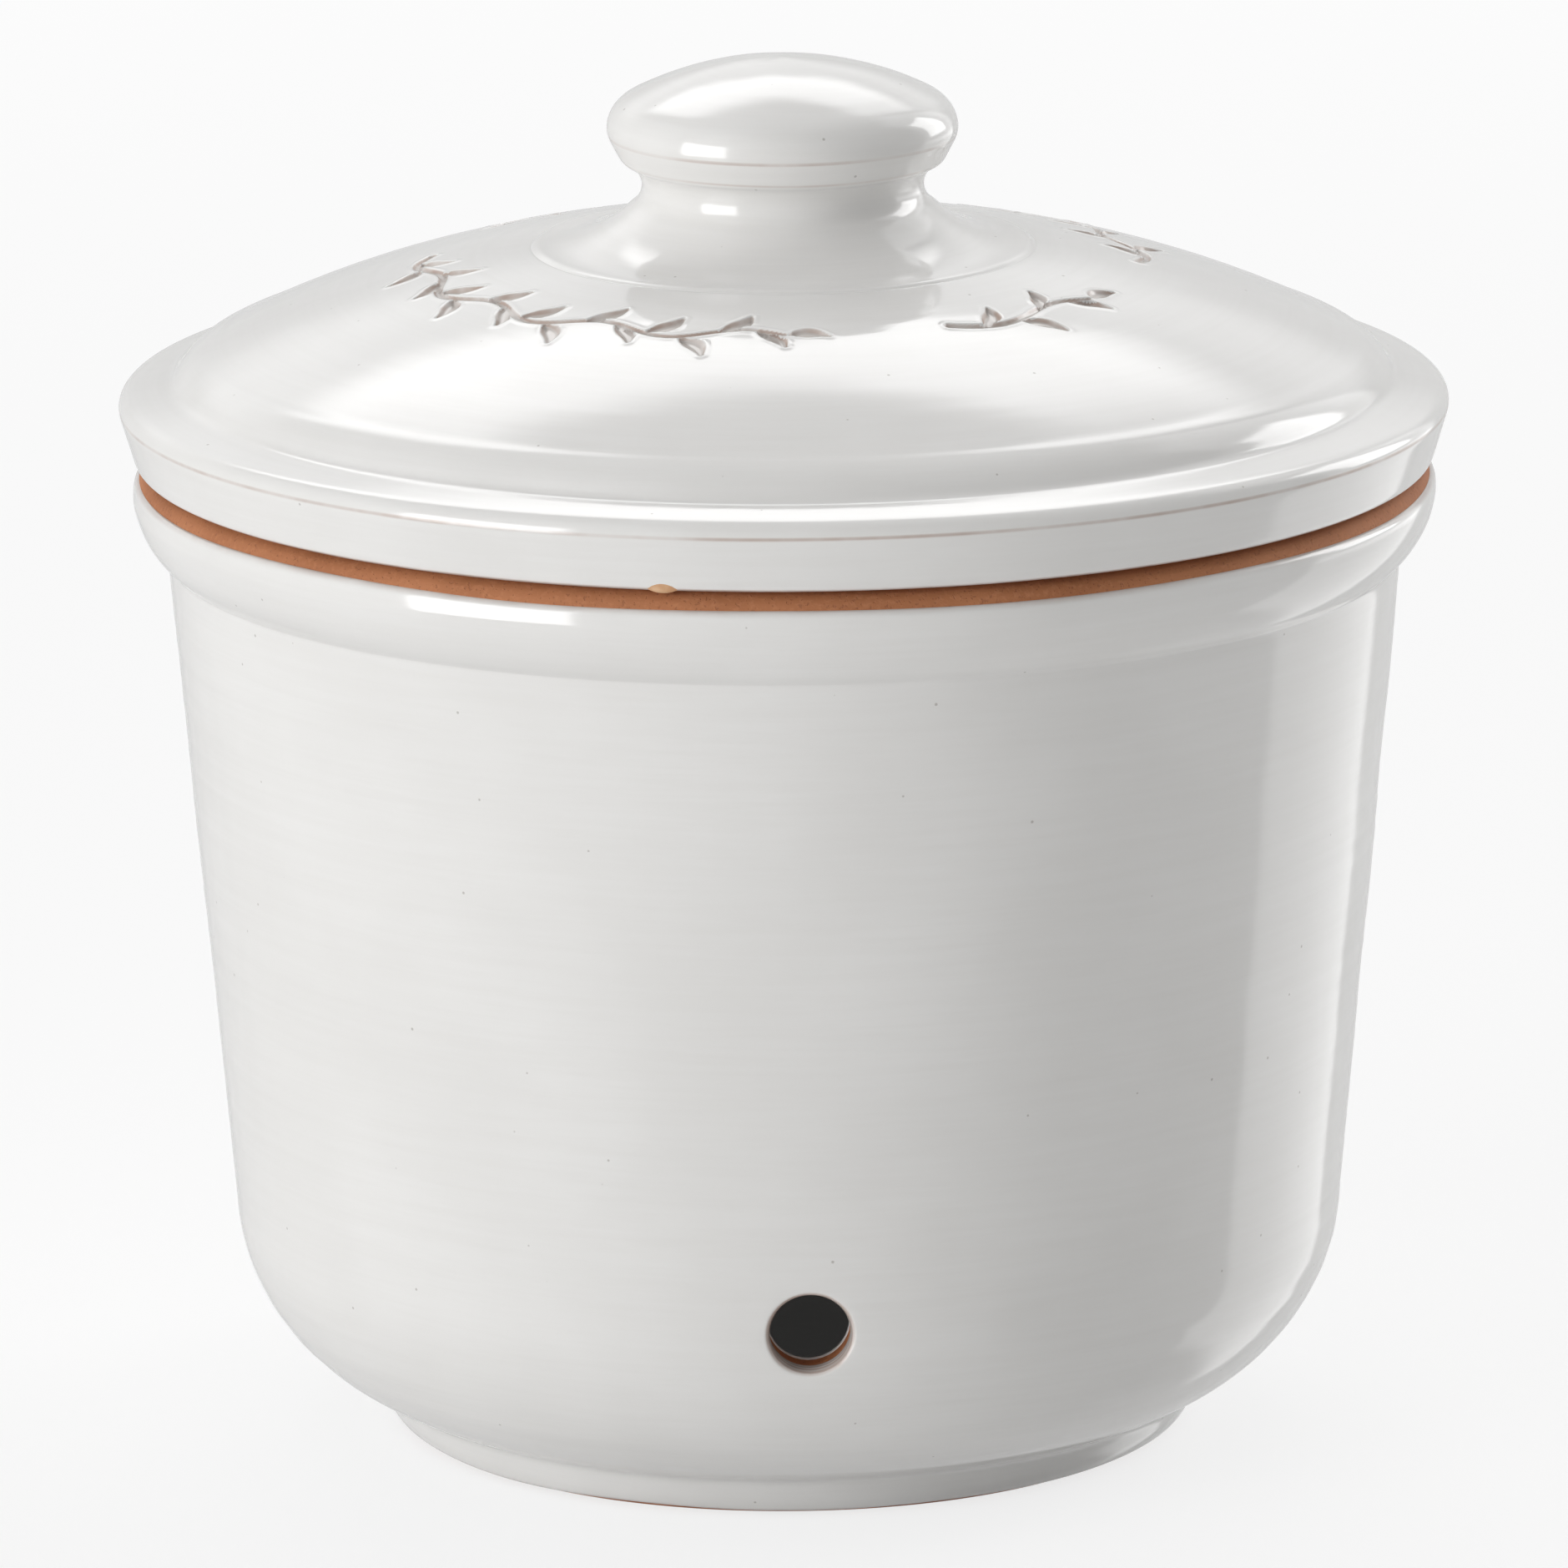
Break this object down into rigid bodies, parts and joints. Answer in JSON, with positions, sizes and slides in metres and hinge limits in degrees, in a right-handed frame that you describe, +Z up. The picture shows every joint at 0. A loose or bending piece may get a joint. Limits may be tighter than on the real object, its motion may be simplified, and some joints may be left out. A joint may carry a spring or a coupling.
{
  "type": "garlic keeper",
  "caption": "Round glazed clay pot with a vent hole and a lift-off domed lid with a knob, for keeping garlic bulbs dry and aired.",
  "frame": {"origin": "centre of the foot ring, on the surface that the pot stands on", "axes": "+Z up along the turning axis, -Y towards the vent hole, which is the front"},
  "size_m": [0.15, 0.15, 0.1567],
  "materials": {
    "clay": "matte",
    "glaze": "gloss"
  },
  "bodies": {
    "pot": {"pot_body": "clay", "pot_outer_glaze": "glaze", "pot_inner_glaze": "glaze"},
    "lid": {"lid_body": "clay", "lid_knob": "clay", "lid_outer_glaze": "glaze", "lid_inner_glaze": "glaze"}
  },
  "joints": [
    {"name": "lid_lift", "type": "slide", "parent": "pot", "child": "lid", "axis": [0, 0, 1], "range_m": [0, 0.12]}
  ]
}
